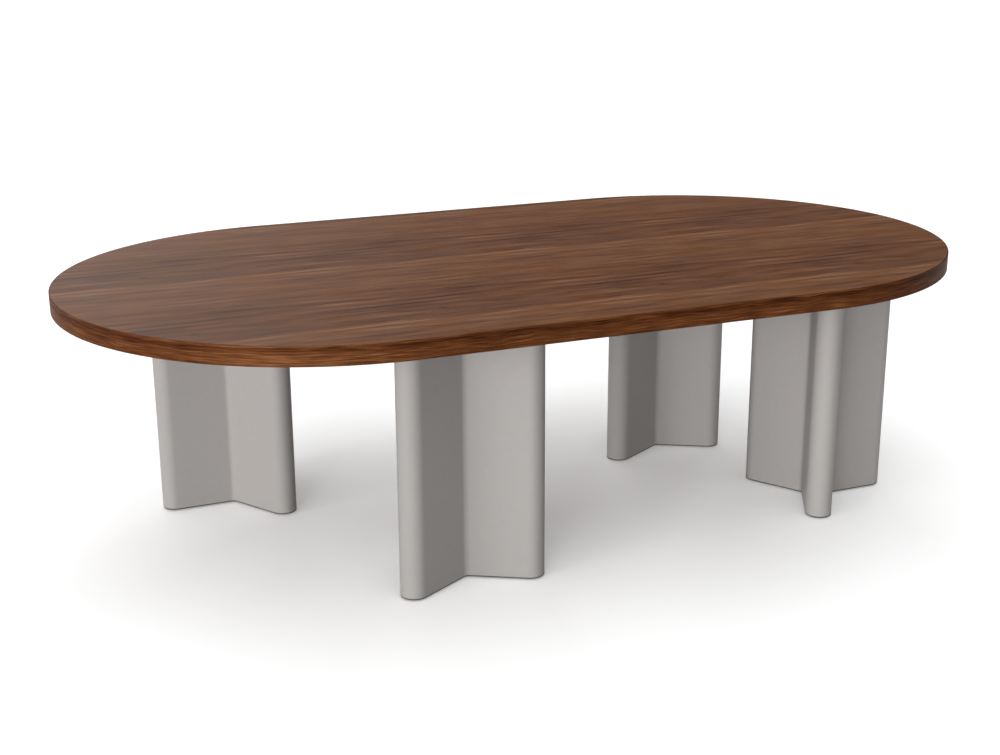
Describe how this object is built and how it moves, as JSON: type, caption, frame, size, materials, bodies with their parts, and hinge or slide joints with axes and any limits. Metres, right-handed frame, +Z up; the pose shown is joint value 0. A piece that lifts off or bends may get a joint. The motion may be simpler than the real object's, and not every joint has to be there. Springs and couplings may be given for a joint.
{
  "type": "conference table",
  "caption": "Conference table: a racetrack-shaped walnut top with semicircular ends on hollow three-finned steel pedestals that stand on screw glides.",
  "frame": {"origin": "on the floor under the middle of the top", "axes": "+X along the length of the top, +Y towards the far long edge of the pictured view, +Z up"},
  "size_m": [2.6, 1.45, 0.75],
  "materials": {
    "walnut_face": "straight-grained walnut veneer, satin lacquer",
    "walnut_edge": "solid walnut lipping, satin lacquer",
    "core_board": "raw fibreboard",
    "satin_paint": "satin warm-grey metallic paint on steel sheet",
    "zinc_steel": "bright zinc plate",
    "black_nylon": "moulded black nylon"
  },
  "bodies": {
    "table": {"face_veneer": "walnut_face", "upper_board": "core_board", "lower_board": "core_board", "backer_veneer": "walnut_face", "lipping_right_end": "walnut_edge", "lipping_left_end": "walnut_edge", "lipping_back": "walnut_edge", "lipping_front": "walnut_edge", "column_back_left": "satin_paint", "mount_plate_back_left": "satin_paint", "anchor_plate_back_left": "zinc_steel", "base_plate_back_left": "zinc_steel", "bolt_back_left_1": "zinc_steel", "bolt_back_left_2": "zinc_steel", "bolt_back_left_3": "zinc_steel", "column_front_left": "satin_paint", "mount_plate_front_left": "satin_paint", "anchor_plate_front_left": "zinc_steel", "base_plate_front_left": "zinc_steel", "bolt_front_left_1": "zinc_steel", "bolt_front_left_2": "zinc_steel", "bolt_front_left_3": "zinc_steel", "column_back_right": "satin_paint", "mount_plate_back_right": "satin_paint", "anchor_plate_back_right": "zinc_steel", "base_plate_back_right": "zinc_steel", "bolt_back_right_1": "zinc_steel", "bolt_back_right_2": "zinc_steel", "bolt_back_right_3": "zinc_steel", "column_front_right": "satin_paint", "mount_plate_front_right": "satin_paint", "anchor_plate_front_right": "zinc_steel", "base_plate_front_right": "zinc_steel", "bolt_front_right_1": "zinc_steel", "bolt_front_right_2": "zinc_steel", "bolt_front_right_3": "zinc_steel"},
    "foot_back_left_1": {"glide_foot_back_left_1": "black_nylon"},
    "stem_back_left_1": {"glide_stem_back_left_1": "zinc_steel"},
    "foot_back_left_2": {"glide_foot_back_left_2": "black_nylon"},
    "stem_back_left_2": {"glide_stem_back_left_2": "zinc_steel"},
    "foot_back_left_3": {"glide_foot_back_left_3": "black_nylon"},
    "stem_back_left_3": {"glide_stem_back_left_3": "zinc_steel"},
    "foot_front_left_1": {"glide_foot_front_left_1": "black_nylon"},
    "stem_front_left_1": {"glide_stem_front_left_1": "zinc_steel"},
    "foot_front_left_2": {"glide_foot_front_left_2": "black_nylon"},
    "stem_front_left_2": {"glide_stem_front_left_2": "zinc_steel"},
    "foot_front_left_3": {"glide_foot_front_left_3": "black_nylon"},
    "stem_front_left_3": {"glide_stem_front_left_3": "zinc_steel"},
    "foot_back_right_1": {"glide_foot_back_right_1": "black_nylon"},
    "stem_back_right_1": {"glide_stem_back_right_1": "zinc_steel"},
    "foot_back_right_2": {"glide_foot_back_right_2": "black_nylon"},
    "stem_back_right_2": {"glide_stem_back_right_2": "zinc_steel"},
    "foot_back_right_3": {"glide_foot_back_right_3": "black_nylon"},
    "stem_back_right_3": {"glide_stem_back_right_3": "zinc_steel"},
    "foot_front_right_1": {"glide_foot_front_right_1": "black_nylon"},
    "stem_front_right_1": {"glide_stem_front_right_1": "zinc_steel"},
    "foot_front_right_2": {"glide_foot_front_right_2": "black_nylon"},
    "stem_front_right_2": {"glide_stem_front_right_2": "zinc_steel"},
    "foot_front_right_3": {"glide_foot_front_right_3": "black_nylon"},
    "stem_front_right_3": {"glide_stem_front_right_3": "zinc_steel"}
  },
  "joints": [
    {"name": "level_back_left_1", "type": "slide", "parent": "table", "child": "foot_back_left_1", "axis": [0, 0, -1], "range_m": [0, 0.012]},
    {"name": "screw_back_left_1", "type": "hinge", "parent": "foot_back_left_1", "child": "stem_back_left_1", "pos_m": [-0.685, 0.51522, 0.0083], "axis": [0, 0, -1], "range_deg": [0, 2880]},
    {"name": "level_back_left_2", "type": "slide", "parent": "table", "child": "foot_back_left_2", "axis": [0, 0, -1], "range_m": [0, 0.012]},
    {"name": "screw_back_left_2", "type": "hinge", "parent": "foot_back_left_2", "child": "stem_back_left_2", "pos_m": [-0.94, 0.368, 0.0083], "axis": [0, 0, -1], "range_deg": [0, 2880]},
    {"name": "level_back_left_3", "type": "slide", "parent": "table", "child": "foot_back_left_3", "axis": [0, 0, -1], "range_m": [0, 0.012]},
    {"name": "screw_back_left_3", "type": "hinge", "parent": "foot_back_left_3", "child": "stem_back_left_3", "pos_m": [-0.685, 0.22078, 0.0083], "axis": [0, 0, -1], "range_deg": [0, 2880]},
    {"name": "level_front_left_1", "type": "slide", "parent": "table", "child": "foot_front_left_1", "axis": [0, 0, -1], "range_m": [0, 0.012]},
    {"name": "screw_front_left_1", "type": "hinge", "parent": "foot_front_left_1", "child": "stem_front_left_1", "pos_m": [-0.36, -0.237, 0.0083], "axis": [0, 0, -1], "range_deg": [0, 2880]},
    {"name": "level_front_left_2", "type": "slide", "parent": "table", "child": "foot_front_left_2", "axis": [0, 0, -1], "range_m": [0, 0.012]},
    {"name": "screw_front_left_2", "type": "hinge", "parent": "foot_front_left_2", "child": "stem_front_left_2", "pos_m": [-0.50722, -0.492, 0.0083], "axis": [0, 0, -1], "range_deg": [0, 2880]},
    {"name": "level_front_left_3", "type": "slide", "parent": "table", "child": "foot_front_left_3", "axis": [0, 0, -1], "range_m": [0, 0.012]},
    {"name": "screw_front_left_3", "type": "hinge", "parent": "foot_front_left_3", "child": "stem_front_left_3", "pos_m": [-0.21278, -0.492, 0.0083], "axis": [0, 0, -1], "range_deg": [0, 2880]},
    {"name": "level_back_right_1", "type": "slide", "parent": "table", "child": "foot_back_right_1", "axis": [0, 0, -1], "range_m": [0, 0.012]},
    {"name": "screw_back_right_1", "type": "hinge", "parent": "foot_back_right_1", "child": "stem_back_right_1", "pos_m": [0.598, 0.479, 0.0083], "axis": [0, 0, -1], "range_deg": [0, 2880]},
    {"name": "level_back_right_2", "type": "slide", "parent": "table", "child": "foot_back_right_2", "axis": [0, 0, -1], "range_m": [0, 0.012]},
    {"name": "screw_back_right_2", "type": "hinge", "parent": "foot_back_right_2", "child": "stem_back_right_2", "pos_m": [0.45078, 0.224, 0.0083], "axis": [0, 0, -1], "range_deg": [0, 2880]},
    {"name": "level_back_right_3", "type": "slide", "parent": "table", "child": "foot_back_right_3", "axis": [0, 0, -1], "range_m": [0, 0.012]},
    {"name": "screw_back_right_3", "type": "hinge", "parent": "foot_back_right_3", "child": "stem_back_right_3", "pos_m": [0.74522, 0.224, 0.0083], "axis": [0, 0, -1], "range_deg": [0, 2880]},
    {"name": "level_front_right_1", "type": "slide", "parent": "table", "child": "foot_front_right_1", "axis": [0, 0, -1], "range_m": [0, 0.012]},
    {"name": "screw_front_right_1", "type": "hinge", "parent": "foot_front_right_1", "child": "stem_front_right_1", "pos_m": [1.01, -0.29, 0.0083], "axis": [0, 0, -1], "range_deg": [0, 2880]},
    {"name": "level_front_right_2", "type": "slide", "parent": "table", "child": "foot_front_right_2", "axis": [0, 0, -1], "range_m": [0, 0.012]},
    {"name": "screw_front_right_2", "type": "hinge", "parent": "foot_front_right_2", "child": "stem_front_right_2", "pos_m": [0.755, -0.14278, 0.0083], "axis": [0, 0, -1], "range_deg": [0, 2880]},
    {"name": "level_front_right_3", "type": "slide", "parent": "table", "child": "foot_front_right_3", "axis": [0, 0, -1], "range_m": [0, 0.012]},
    {"name": "screw_front_right_3", "type": "hinge", "parent": "foot_front_right_3", "child": "stem_front_right_3", "pos_m": [0.755, -0.43722, 0.0083], "axis": [0, 0, -1], "range_deg": [0, 2880]}
  ],
  "couplings": [
    {"joint": "screw_back_left_1", "follows": "level_back_left_1", "rad_per_m": 4188.8},
    {"joint": "screw_back_left_2", "follows": "level_back_left_2", "rad_per_m": 4188.8},
    {"joint": "screw_back_left_3", "follows": "level_back_left_3", "rad_per_m": 4188.8},
    {"joint": "screw_front_left_1", "follows": "level_front_left_1", "rad_per_m": 4188.8},
    {"joint": "screw_front_left_2", "follows": "level_front_left_2", "rad_per_m": 4188.8},
    {"joint": "screw_front_left_3", "follows": "level_front_left_3", "rad_per_m": 4188.8},
    {"joint": "screw_back_right_1", "follows": "level_back_right_1", "rad_per_m": 4188.8},
    {"joint": "screw_back_right_2", "follows": "level_back_right_2", "rad_per_m": 4188.8},
    {"joint": "screw_back_right_3", "follows": "level_back_right_3", "rad_per_m": 4188.8},
    {"joint": "screw_front_right_1", "follows": "level_front_right_1", "rad_per_m": 4188.8},
    {"joint": "screw_front_right_2", "follows": "level_front_right_2", "rad_per_m": 4188.8},
    {"joint": "screw_front_right_3", "follows": "level_front_right_3", "rad_per_m": 4188.8}
  ]
}
